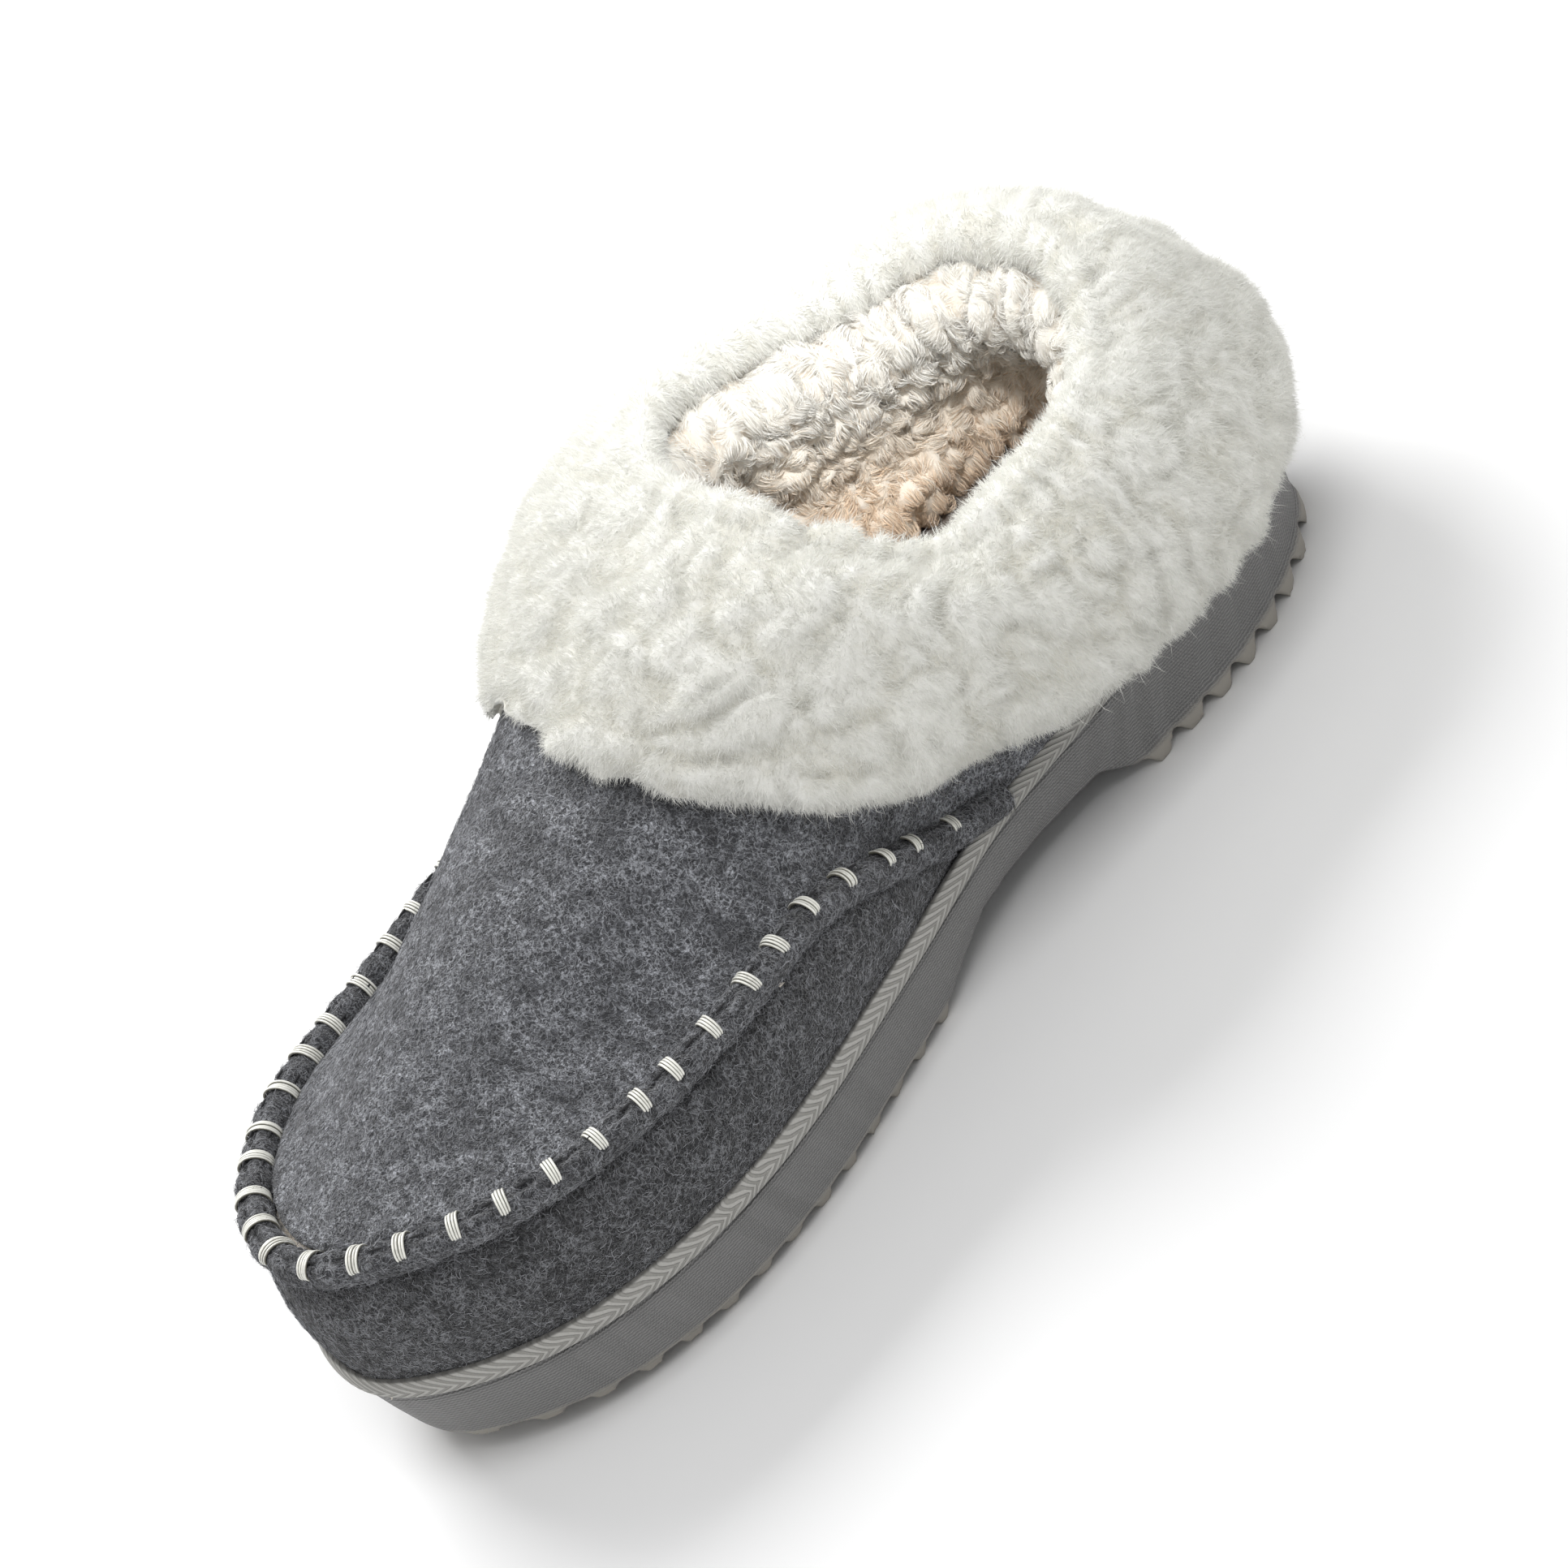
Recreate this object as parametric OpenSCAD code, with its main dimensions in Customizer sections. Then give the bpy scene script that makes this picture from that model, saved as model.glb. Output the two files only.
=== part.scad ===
// Fluffy clog slipper, right foot, with a moccasin toe and a deep sherpa cuff.
// The toe points along -Y, the inner (medial) side is +X and the tread stands on z = 0.
// Every sheet of the upper follows one surface, upper(t, v): t runs 0..20 round the sole from
// the heel, along the inner side, the toe and the outer side; v runs 0..1 up to the foot opening.

/* [Sole] */
// Height of the sole edge under the heel
heel_z = 24; // [20:0.5:30]
// Height of the sole edge under the ball of the foot
ball_z = 19; // [16:0.5:24]
// Extra height of the sole edge at the toe
toe_spring = 5; // [0:0.5:8]
// Distance between tread crests
rib_pitch = 8.5; // [7:0.5:12]
// Depth of the tread grooves
rib_depth = 2.5; // [2:0.5:4]
// Height of the arch under the waist
arch_z = 8; // [5:0.5:10]
// How far the tread sits inside the sole edge
tread_inset = 5; // [3:0.5:7]
// Width of the two long slits in the forefoot tread
slit_w = 2.4; // [1.5:0.1:4]

/* [Upper] */
// Height of the moccasin seam above the sole edge at the toe
seam_toe_h = 31; // [24:0.5:36]
// Height of the moccasin seam above the sole edge at the ball
seam_ball_h = 27.5; // [20:0.5:30]
// Thickness of the felt
felt = 2.4; // [1.6:0.2:3]
// Height of the foot opening at the sides
side_z = 67; // [60:1:72]
// Half the length of the foot opening
open_a = 45; // [40:1:48]
// Half the width of the foot opening
open_b = 35; // [30:1:37]
// Distance between hand stitches
stitch_pitch = 9.6; // [8:0.2:12]

/* [Sherpa] */
// Thickness of the cuff's pile
pile = 13; // [10:0.5:15]
// Thickness of the lining's pile
lining = 6; // [4:0.5:8]

/* [Hidden] */

N = 80;              // points round the sole
T_END = 20;          // t after one turn
STEP = T_END / N;
SHIFT = [4.3, 0.9];  // moves the outline so that the box is centred on the origin
UP = [0, 0, 1];
CLEAR = 0.3;         // air between neighbouring sheets

// Outline of the sole edge, clockwise from the heel seen from above
OUTLINE = [[-1, 124], [17, 117.5], [30, 101], [36.5, 76], [34.5, 47], [32, 15], [38, -20], [43.5, -55],
    [41.5, -88], [30, -115], [7, -133], [-20, -127], [-42, -103], [-51, -70], [-52, -35], [-46, 5],
    [-39.5, 45], [-39, 77], [-34, 102], [-21, 118]];

// Where the foot opening's centre lies
OPEN_C = [-1, 62];
HEEL_RISE = 5;       // the opening rises at the heel
THROAT_RISE = 21;    // and at the throat
LEAN = 8;            // the outer side stands higher than the inner one
SEAM_LEAN = 4.5;     // the moccasin seam leans in over the forefoot
WALL_BULGE = 3.2;    // the toe wall is rounded outwards by this much
CROWN_SPAN = 1.2;    // the crown's sections fan out evenly round the toe over this span of t

// Stations along the sole
SEAM_END_Y = 22;     // the moccasin seam meets the sole edge here
SIDE_T = 4;          // the vamp and the quarters meet here, under the cuff
HEEL_PAD_Y = 48;     // front end of the heel's tread
FORE_Y = -6;         // rear end of the forefoot's tread
TAPE_H = 5;          // height of the welt tape
CUFF_Y = -26;        // front edge of the cuff beside the top of the vamp
HEM_BOW = 4.5;       // how much further forward that edge lies on top
HEM_SWEEP = 93;      // how much further back it lies where it meets the sole

// ---- numbers -------------------------------------------------------------------------------
function mix(a, b, s) = a + (b - a) * s;
function clamp(x) = max(0, min(1, x));
function smooth(a, b, x) = let (s = clamp((x - a) / (b - a))) s * s * (3 - 2 * s);
function unit(v) = v / norm(v);

// ---- the sole edge -------------------------------------------------------------------------
function knot(i) = OUTLINE[(i + T_END) % T_END];
function outline(t) = let (w = (t + T_END) % T_END, i = floor(w), u = w - i,
    a = knot(i - 1), b = knot(i), c = knot(i + 1), d = knot(i + 2))
    (2 * b + (c - a) * u + (2 * a - 5 * b + 4 * c - d) * u * u
        + (3 * b - a - 3 * c + d) * u * u * u) / 2;
// The level direction away from the sole, square to the outline's chord over a span of t
function outward(t, span = 0.05) = let (d = unit(outline(t + span) - outline(t - span))) [-d[1], d[0]];
function edge_z(y) = ball_z + (heel_z - ball_z) * smooth(-16, 90, y)
    + toe_spring * pow(clamp((-60 - y) / 74), 2);
// A point inside the sole edge by some distance, at a height above it
function inside(t, inset, z) = let (p = outline(t) - outward(t) * inset)
    [p[0], p[1], edge_z(p[1]) + z];

// ---- the surface of the upper --------------------------------------------------------------
function seam_h(y) = let (dive = smooth(-31, SEAM_END_Y, y))
    (seam_ball_h + (seam_toe_h - seam_ball_h) * smooth(-60, -128, y)) * (1 - dive)
    + 4 * (1 - smooth(SEAM_END_Y - 6, SEAM_END_Y + 10, y)) * dive;
// The sheets start inside the sole edge, and the seam leans in from there over the forefoot
function foot_in(y) = 0.5 + smooth(-20, 20, y);
function seam_in(y) = foot_in(y) + SEAM_LEAN * (1 - smooth(-80, -6, y));
function seam(t) = let (y = outline(t)[1]) inside(t, seam_in(y), seam_h(y));
// tau runs 0..1 from the heel to the toe on either side
function tau(t) = let (w = (t + T_END) % T_END / 10) w > 1 ? 2 - w : w;
function side(t) = (t + T_END) % T_END > 10 ? -1 : 1;
function opening(t) = let (turn = 180 * pow(tau(t), 0.62), y = OPEN_C[1] + cos(turn) * open_a)
    [OPEN_C[0] + side(t) * sin(turn) * open_b - 3 * smooth(50, 18, y), y,
        side_z - side(t) * LEAN * smooth(0, 1, sin(turn)) + HEEL_RISE * smooth(80, 106, y)
        + THROAT_RISE * smooth(side(t) > 0 ? 46 : 90, OPEN_C[1] - open_a, y)];
function away(t) = let (d = opening(t) - [OPEN_C[0], OPEN_C[1], 0]) unit([d[0], d[1], 0]);
function upper(t, v) = let (s = seam(t), o = opening(t), n = outward(t, CROWN_SPAN), d = away(t),
    far = norm(o - s),
    toe = smooth(20, -70, s[1]), rise = 97 - 83 * toe, fall = 72 - 64 * smooth(0.1, 0.9, -d[1]),
    p = s + far * (0.34 - 0.09 * toe) * (UP * sin(rise) - [n[0], n[1], 0] * cos(rise)),
    q = o + far * 0.34 * (d * cos(fall) - UP * sin(fall)), u = 1 - v)
    u * u * u * s + 3 * u * u * v * p + 3 * u * v * v * q + v * v * v * o;
function normal(t, v) = unit(cross(upper(t, min(v + 0.02, 1)) - upper(t, max(v - 0.02, 0)),
    upper(t + 0.05, v) - upper(t - 0.05, v)));
// A point off the upper's outer surface: positive is outside
function skin(t, v, off) = upper(t, v) + normal(t, v) * off;
// The toe wall stands straight behind the welt tape, then bulges and leans in up to the seam
function wall(t, z, off) = let (y = outline(t)[1], s = clamp((z - TAPE_H) / (seam_h(y) - TAPE_H + 0.01)),
    bulge = WALL_BULGE * sin(180 * s) * smooth(20, -20, y))
    inside(t, mix(foot_in(y), seam_in(y), s) - bulge - off, z);
// The cuff's lower edge bows forward on top of the vamp and sweeps down and back to the heel
function cuff_edge_y(p) = CUFF_Y - HEM_BOW * clamp(1 - pow(p[0] / 30, 2))
    + HEM_SWEEP * pow(clamp(1 - (p[2] - 25) / 52), 2);
function cuff_edge(t, lo, hi, steps) = let (v = (lo + hi) / 2, p = upper(t, v))
    steps == 0 ? v : p[1] < cuff_edge_y(p) ? cuff_edge(t, v, hi, steps - 1) : cuff_edge(t, lo, v, steps - 1);
CUFF_V = [for (i = [0:N - 1]) max(0.05, cuff_edge(i * STEP, 0, 1, 9))];

// ---- solids --------------------------------------------------------------------------------
function two(a, b, c, d) = [[a, b, c], [a, c, d]];
// A closed band of rings: each ring is a list of points, and the band's section is closed
module torus(rings) {
    n = len(rings);
    m = len(rings[0]);
    points = [for (r = rings) each r];
    faces = [for (i = [0:n - 1]) for (j = [0:m - 1])
        each two(i * m + j, (i + 1) % n * m + j, (i + 1) % n * m + (j + 1) % m, i * m + (j + 1) % m)];
    polyhedron(points, faces);
}
// An open strip: the same sections, closed at each end by pairing the section's two long sides
module strip(rings) {
    n = len(rings);
    m = len(rings[0]);
    points = [for (r = rings) each r];
    sides = [for (i = [0:n - 2]) for (j = [0:m - 1])
        each two(i * m + j, (i + 1) * m + j, (i + 1) * m + (j + 1) % m, i * m + (j + 1) % m)];
    half = floor(m / 2);
    lid = [for (j = [0:half - 2]) each two(j, j + 1, m - 2 - j, m - 1 - j)];
    last = (n - 1) * m;
    polyhedron(points, concat(sides, lid, [for (f = lid) [f[2] + last, f[1] + last, f[0] + last]]));
}
// A stack of outline rings from the lowest to the highest, closed across at both ends
module slab(rings) {
    n = len(rings);
    points = [for (r = rings) each r];
    sides = [for (i = [0:n - 2]) for (j = [0:N - 1])
        each two(i * N + j, i * N + (j + 1) % N, (i + 1) * N + (j + 1) % N, (i + 1) * N + j)];
    top = (n - 1) * N;
    lid = concat([[0, N - 1, 1]], [for (j = [1:N / 2 - 2]) each two(j, N - j, N - j - 1, j + 1)],
        [[N / 2 - 1, N / 2 + 1, N / 2]]);
    polyhedron(points, concat(sides, lid, [for (f = lid) [f[2] + top, f[1] + top, f[0] + top]]));
}
function ring(inset, z) = [for (i = [0:N - 1]) inside(i * STEP, inset, z)];
// A sheet's section between v0 and v1, with its outer side at off and its inner side below it
function section(t, v0, v1, off, thick, m) = concat(
    [for (k = [0:m]) skin(t, mix(v0, v1, k / m), off)],
    [for (k = [m:-1:0]) skin(t, mix(v0, v1, k / m), off - thick)]);

module place() {
    translate([SHIFT[0], SHIFT[1], 0]) children();
}

// ---- sole unit -----------------------------------------------------------------------------
// Height of the sole's underside, without its tread
function under_z(y) = let (spring = toe_spring * pow(clamp((-60 - y) / 74), 2),
    waist = smooth(FORE_Y - 10, FORE_Y + 14, y) * (1 - smooth(HEEL_PAD_Y - 8, HEEL_PAD_Y - 2, y)))
    mix(rib_depth + spring, arch_z, waist);
function base_ring(inset, lift) = [for (i = [0:N - 1])
    let (p = outline(i * STEP) - outward(i * STEP) * inset) [p[0], p[1], under_z(p[1]) + lift]];

module sole_body() {
    lip = 2;
    slab([base_ring(tread_inset + 2, 0), base_ring(tread_inset - 0.5, 0.2), base_ring(tread_inset - 1.2, lip),
        ring(1.9, -8), ring(0.2, -1.2), ring(0.6, 0)]);
}
// One crest of the tread, clipped to the tread's outline by the caller
module crest(y, root) {
    spring = toe_spring * pow(clamp((-60 - y) / 74), 2);
    foot = rib_pitch * 0.44;
    tip = rib_pitch * 0.2;
    translate([-60, y, spring])
        rotate([90, 0, 90])
            linear_extrude(120)
                polygon([[-foot, root], [-tip, 0], [tip, 0], [foot, root]]);
}
module tread_area(inset, y0, y1) {
    intersection() {
        linear_extrude(20)
            polygon([for (i = [0:N - 1]) outline(i * STEP) - outward(i * STEP) * inset]);
        translate([-60, y0, -1]) cube([120, y1 - y0, 22]);
    }
}
module slit(x, turn) {
    length = 96;
    translate([x, FORE_Y + 4, -1])
        rotate(turn)
            linear_extrude(rib_depth + 5)
                polygon([[0, 6], [slit_w / 2, -24], [slit_w / 2, -length], [-slit_w / 2, -length],
                    [-slit_w / 2, -24]]);
}
module outsole() {
    heel_crests = 8;
    fore_crests = 14;
    color([0.44, 0.44, 0.45]) place() difference() {
        union() {
            sole_body();
            intersection() {
                tread_area(tread_inset - 2, HEEL_PAD_Y, 130);
                for (i = [0:heel_crests - 1]) crest(HEEL_PAD_Y + 4.5 + i * rib_pitch, rib_depth + 1.5);
            }
            intersection() {
                tread_area(tread_inset + 1, -140, FORE_Y);
                for (i = [0:fore_crests - 1]) crest(FORE_Y - 8 - i * rib_pitch, rib_depth + 1.5);
            }
        }
        slit(-24, -3);
        slit(14, 3);
    }
}

// ---- what lies inside the upper ------------------------------------------------------------
BOARD = 1.6;
FOAM = 6;
COVER = 2;
INNER = felt + 2.1;   // the insole parts stay inside the felt
FOAM_IN = INNER + 4;  // and the footbed inside the row of stitches

module insole_board() {
    color([0.78, 0.72, 0.6]) place() slab([ring(INNER, 0.2), ring(INNER, BOARD)]);
}
module foam_footbed() {
    color([0.9, 0.86, 0.6]) place()
        slab([ring(FOAM_IN, BOARD + 0.2), ring(FOAM_IN, BOARD + FOAM)]);
}
module sock_lining() {
    from = BOARD + FOAM + 0.2;
    color([0.42, 0.38, 0.34]) place() slab([ring(FOAM_IN, from), ring(FOAM_IN, from + COVER)]);
}
SOCK_TOP = BOARD + FOAM + 0.2 + COVER;
// The seam that joins the upper to the insole board: one short thread per step
module strobel_stitches() {
    pitch_t = 0.25;
    thread = 0.7;
    height = BOARD + 0.5;
    color([0.85, 0.84, 0.8]) place() for (t = [0:pitch_t:T_END - 0.01])
        hull() {
            translate(inside(t, INNER, height)) cube(thread, center = true);
            translate(inside(t + 0.1, FOAM_IN - 1.2, height)) cube(thread, center = true);
        }
}

// ---- felt ----------------------------------------------------------------------------------
module toe_wall() {
    m = 6;
    color([0.3, 0.3, 0.31]) place() strip([for (t = [4.8:STEP:15.2]) let (top = seam_h(outline(t)[1])) concat(
        [for (k = [0:m]) wall(t, mix(0.2, top, k / m), 0)],
        [for (k = [m:-1:0]) wall(t, mix(0.2, top, k / m), -felt)])]);
}
module vamp_plug() {
    color([0.34, 0.34, 0.36]) place() strip([for (t = [SIDE_T:STEP:T_END - SIDE_T])
        section(t, 0.03, 1, 0, felt, 8)]);
}
module quarter(from, to) {
    color([0.34, 0.34, 0.36]) place() strip([for (t = [from:STEP:to])
        section(t, 0.02, 1, 0, felt, 5)]);
}
module quarter_medial() {
    quarter(0.02, SIDE_T);
}
module quarter_lateral() {
    quarter(T_END - SIDE_T + 0.02, T_END);
}
module heel_seam_tape() {
    half_w = 0.35;
    color([0.5, 0.48, 0.45]) place() strip([for (t = [-half_w:half_w / 2:half_w])
        section(t, 0.06, 0.96, -felt - CLEAR, 0.8, 5)]);
}

// ---- seams ---------------------------------------------------------------------------------
ROLL_R = 2.9;
SEAM_T = 4.85;        // the seam roll's end on the inner side
function roll_centre(t) = let (n = outward(t)) seam(t) + [n[0], n[1], 0] * 0.8 + UP * 0.6;
function along(t) = unit(roll_centre(t + 0.05) - roll_centre(t - 0.05));
// A circle round the seam roll's centre line
function roll_ring(t, r, m) = let (d = along(t), a = unit(cross(d, UP)), b = cross(a, d), c = roll_centre(t))
    [for (k = [0:m - 1]) c + r * (a * cos(360 * k / m) + b * sin(360 * k / m))];

module moc_seam_roll() {
    color([0.32, 0.32, 0.34]) place() strip([for (t = [SEAM_T:STEP:T_END - SEAM_T]) roll_ring(t, ROLL_R, 12)]);
}
// t after walking a distance along the seam, step by step
SEAM_STEPS = [for (t = SEAM_T + 0.1, run = 0; t <= T_END - SEAM_T - 0.1;
    run = run + norm(roll_centre(t + 0.05) - roll_centre(t)), t = t + 0.05) [t, run]];
STITCH_T = [for (i = [1:len(SEAM_STEPS) - 1])
    if (floor(SEAM_STEPS[i][1] / stitch_pitch) > floor(SEAM_STEPS[i - 1][1] / stitch_pitch)) SEAM_STEPS[i][0]];

// A hand stitch is a flat band of yarn wrapped over the roll
module whip_stitches() {
    from = -50;
    to = 170;
    m = 6;
    width = 2;
    yarn = 1;
    color([0.85, 0.84, 0.78]) place() for (t = STITCH_T) {
        d = along(t);
        a = unit(cross(d, UP));
        b = cross(a, d);
        strip([for (k = [0:m]) let (w = mix(from, to, k / m), r = a * cos(w) + b * sin(w), c = roll_centre(t))
            [c + r * (ROLL_R + 0.1) - d * width / 2, c + r * (ROLL_R + 0.1 + yarn) - d * width / 2,
                c + r * (ROLL_R + 0.1 + yarn) + d * width / 2, c + r * (ROLL_R + 0.1) + d * width / 2]]);
    }
}
// Two rows of machine stitching run along the roll's sides
module seam_topstitches() {
    length_t = 0.09;
    thread = 0.6;
    color([0.12, 0.12, 0.13]) place() for (w = [40, 105]) for (t = [5.6:0.25:14.4]) {
        rings = [for (s = [t, t + length_t]) let (d = along(s), a = unit(cross(d, UP)), b = cross(a, d),
            r = a * cos(w) + b * sin(w), c = roll_centre(s) + r * (ROLL_R + 0.05), e = cross(d, r))
            [c, c + r * thread, c + r * thread + e * thread, c + e * thread]];
        strip(rings);
    }
}
// The woven tape that covers the joint of the felt and the sole unit
module welt_tape() {
    back = 0.3;
    front = -1.6;
    color([0.46, 0.45, 0.43]) place() torus([for (i = [0:N - 1]) let (t = i * STEP)
        [inside(t, back, 0.2), inside(t, front + 0.3, 0.6), inside(t, front, TAPE_H / 2),
            inside(t, front + 0.7, TAPE_H - 0.2), inside(t, back - 0.1, TAPE_H), inside(t, back, TAPE_H / 2)]]);
}

// ---- opening and inside ----------------------------------------------------------------------
module topline_tape() {
    color([0.9, 0.9, 0.88]) place() torus([for (i = [0:N - 1])
        let (t = i * STEP, o = opening(t), d = away(t))
        [o - d * 0.2 + UP * 0.4, o + d * 2.2 + UP * 0.2, o + d * 2.2 + UP * 1.2, o - d * 0.2 + UP * 1.4]]);
}
module heel_counter() {
    reach = 2.6;
    color([0.8, 0.75, 0.62]) place() strip([for (t = [-reach:STEP:reach])
        section(t, 0.1, mix(0.8, 0.5, pow(abs(t) / reach, 2)), -felt - 1.4, 1, 4)]);
}
INSIDE = -felt - 2.8;
// The linings start above the footbed, or just under the seam where there is a toe wall
function lining_v(t) = mix(0.28, 0.06, smooth(0.48, 0.6, tau(t)));
module vamp_lining() {
    color([0.83, 0.78, 0.7]) place() strip([for (t = [SIDE_T + 0.05:STEP:T_END - SIDE_T])
        section(t, lining_v(t), 0.98, -felt - CLEAR, lining, 7)]);
}
module wall_lining() {
    from = 6.6;
    under_vamp = felt + lining + 1.2;
    off = -felt - CLEAR;
    color([0.83, 0.78, 0.7]) place() strip([for (t = [from:STEP:T_END - from])
        let (low = SOCK_TOP + 0.3, high = seam_h(outline(t)[1]) - under_vamp)
        [wall(t, low, off), wall(t, high, off), wall(t, high, off - lining), wall(t, low, off - lining)]]);
}
module heel_lining() {
    color([0.85, 0.8, 0.73]) place() strip([for (t = [0.05 - SIDE_T:STEP:SIDE_T])
        section(t, 0.28, 0.98, INSIDE, lining, 5)]);
}

// ---- cuff ------------------------------------------------------------------------------------
module cuff_backing() {
    m = 5;
    color([0.9, 0.88, 0.82]) place() torus([for (i = [0:N - 1])
        section(i * STEP, CUFF_V[i] + 0.02, 0.99, 1, 0.7, m)]);
}
// The pile stands off the backing, rolls over the top and ends just inside the opening. It is
// full at the back of the heel and thin at the hem over the outer side of the vamp. On the inner
// side it leans in beside the foot and lies low towards the throat, and it draws back at the
// throat on the outer side.
function pile_fat(t) = pile - 2.5 + 3.5 * smooth(0, 0.5, tau(t)) - 5.5 * smooth(0.6, 1, tau(t));
function cuff_ring(t, v) = let (h = 1 - v, o = opening(t), d = away(t), inner = side(t) > 0 ? 1 : 0,
    back = 3 * smooth(0.3, 0, tau(t)), low = inner * smooth(50, 34, o[1]) * smooth(14, 24, o[1]),
    lean = inner * smooth(38, 50, o[1]) * smooth(86, 66, o[1]), wide = (1 - inner) * smooth(50, 24, o[1]),
    hem = 1 - 0.5 * (1 - inner) * smooth(0.35, 0.6, tau(t)), fat = pile_fat(t), full = fat + back,
    top = 10 - 3 * low, over = 6 + 3 * lean - 2.5 * low - 3 * wide, under = 1.8)
    // up the outside from the hem, by share of the height and of the pile's thickness
    [skin(t, v, 1.3), skin(t, v - 0.01, 0.45 * fat * hem), skin(t, v + 0.05 * h, 0.8 * fat * mix(hem, 1, 0.3)),
        skin(t, v + 0.3 * h, full * mix(hem, 1, 0.7)), skin(t, v + 0.6 * h, full),
        skin(t, v + 0.85 * h, 0.9 * fat + back),
        // over the top
        o + UP * (top - 2) + d * (6 + back), o + UP * top - d, o + UP * (top - 3) - d * over,
        // and back along the backing
        o + UP * (under + 0.2) - d * (over + 0.5), o + UP * under - d * 0.5, o + UP * under + d * 3,
        skin(t, 0.97, 1.6), skin(t, mix(v, 1, 0.5), 1.3)];
module cuff_fur() {
    color([0.9, 0.9, 0.86]) place() torus([for (i = [0:N - 1]) cuff_ring(i * STEP, CUFF_V[i])]);
}

outsole();
welt_tape();
insole_board();
strobel_stitches();
foam_footbed();
sock_lining();
toe_wall();
vamp_plug();
quarter_medial();
quarter_lateral();
heel_seam_tape();
moc_seam_roll();
whip_stitches();
seam_topstitches();
topline_tape();
heel_counter();
vamp_lining();
wall_lining();
heel_lining();
cuff_backing();
cuff_fur();
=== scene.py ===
"""The looks of a fluffy clog slipper: a moulded rubber sole unit, a felt upper with a raised
hand-stitched seam, and a sherpa cuff and lining built from real fibres, in a pale studio."""

import math

import bmesh
import bpy
import numpy as np
from mathutils import Matrix, Vector, noise
from mathutils.bvhtree import BVHTree


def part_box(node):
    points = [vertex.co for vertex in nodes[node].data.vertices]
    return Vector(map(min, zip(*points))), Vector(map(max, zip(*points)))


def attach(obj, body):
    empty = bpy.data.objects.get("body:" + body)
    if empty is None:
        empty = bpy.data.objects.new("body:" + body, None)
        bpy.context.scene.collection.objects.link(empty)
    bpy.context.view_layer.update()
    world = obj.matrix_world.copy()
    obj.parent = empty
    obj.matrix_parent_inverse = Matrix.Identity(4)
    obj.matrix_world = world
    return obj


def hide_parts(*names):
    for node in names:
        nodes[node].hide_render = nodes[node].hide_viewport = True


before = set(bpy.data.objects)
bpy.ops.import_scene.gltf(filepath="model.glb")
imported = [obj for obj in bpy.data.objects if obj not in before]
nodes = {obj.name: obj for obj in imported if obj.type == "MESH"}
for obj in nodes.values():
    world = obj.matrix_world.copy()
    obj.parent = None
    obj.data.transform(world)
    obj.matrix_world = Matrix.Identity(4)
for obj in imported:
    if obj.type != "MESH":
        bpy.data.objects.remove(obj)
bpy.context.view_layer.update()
scene = bpy.context.scene
SEED = 11
rng = np.random.default_rng(SEED)
noise.seed_set(SEED)  # vector noise starts from the clock without it

MM = 0.001
MAX_TRIANGLES = 180_000  # in one piece
UP = np.array([0.0, 0.0, 1.0])

ROWS_AT_ONCE = 2048  # points measured against all others in one go, to spare memory

# The foot opening's centre and half of the cuff's width come from the frame
rim_lo, rim_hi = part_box("topline_tape")
OPENING = np.array((rim_lo + rim_hi) / 2)
cuff_lo, cuff_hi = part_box("cuff_fur")
CUFF_RADIUS = (cuff_hi.x - cuff_lo.x) / 2


# ---- numbers and meshes ------------------------------------------------------------------------
def unit(v):
    """Rows of v at length 1."""
    return v / np.maximum(np.linalg.norm(v, axis=-1, keepdims=True), 1e-12)


def smooth(a, b, x):
    """0 below a, 1 above b, with a smooth step between."""
    s = np.clip((x - a) / (b - a), 0, 1)
    return s * s * (3 - 2 * s)


def points_of(piece):
    co = np.empty(len(piece.data.vertices) * 3, np.float32)
    piece.data.vertices.foreach_get("co", co)
    return co.reshape(-1, 3).astype(float)


def normals_of(piece):
    no = np.empty(len(piece.data.vertices) * 3, np.float32)
    piece.data.vertices.foreach_get("normal", no)
    return no.reshape(-1, 3).astype(float)


def move_to(piece, co):
    piece.data.vertices.foreach_set("co", co.astype(np.float32).ravel())
    piece.data.update()


def triangles_of(piece):
    piece.data.calc_loop_triangles()
    tri = np.empty(len(piece.data.loop_triangles) * 3, np.int32)
    piece.data.loop_triangles.foreach_get("vertices", tri)
    return tri.reshape(-1, 3)


def note(piece, name, values):
    """Keeps one number per vertex for the materials to read."""
    layer = piece.data.attributes.new(name, "FLOAT", "POINT")
    layer.data.foreach_set("value", values.astype(np.float32))


def copy_of(node, name, crease_angle=50):
    """A copy of a CAD node with welded vertices and quads, and its sharp edges marked to stay."""
    mesh = nodes[node].data.copy()
    mesh.materials.clear()
    bm = bmesh.new()
    bm.from_mesh(mesh)
    bmesh.ops.remove_doubles(bm, verts=bm.verts, dist=0.02 * MM)
    bmesh.ops.join_triangles(
        bm, faces=bm.faces, angle_face_threshold=0.6, angle_shape_threshold=0.8
    )
    crease = bm.edges.layers.float.new("crease_edge")
    for edge in bm.edges:
        if edge.calc_face_angle(0) > math.radians(crease_angle):
            edge[crease] = 1
    bm.to_mesh(mesh)
    bm.free()
    piece = bpy.data.objects.new(name, mesh)
    scene.collection.objects.link(piece)
    return piece


def apply(piece, kind, **settings):
    """Adds one modifier and applies it."""
    modifier = piece.modifiers.new(kind, kind)
    for key, value in settings.items():
        setattr(modifier, key, value)
    graph = bpy.context.evaluated_depsgraph_get()
    mesh = bpy.data.meshes.new_from_object(piece.evaluated_get(graph))
    piece.modifiers.clear()
    piece.data = mesh


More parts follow.
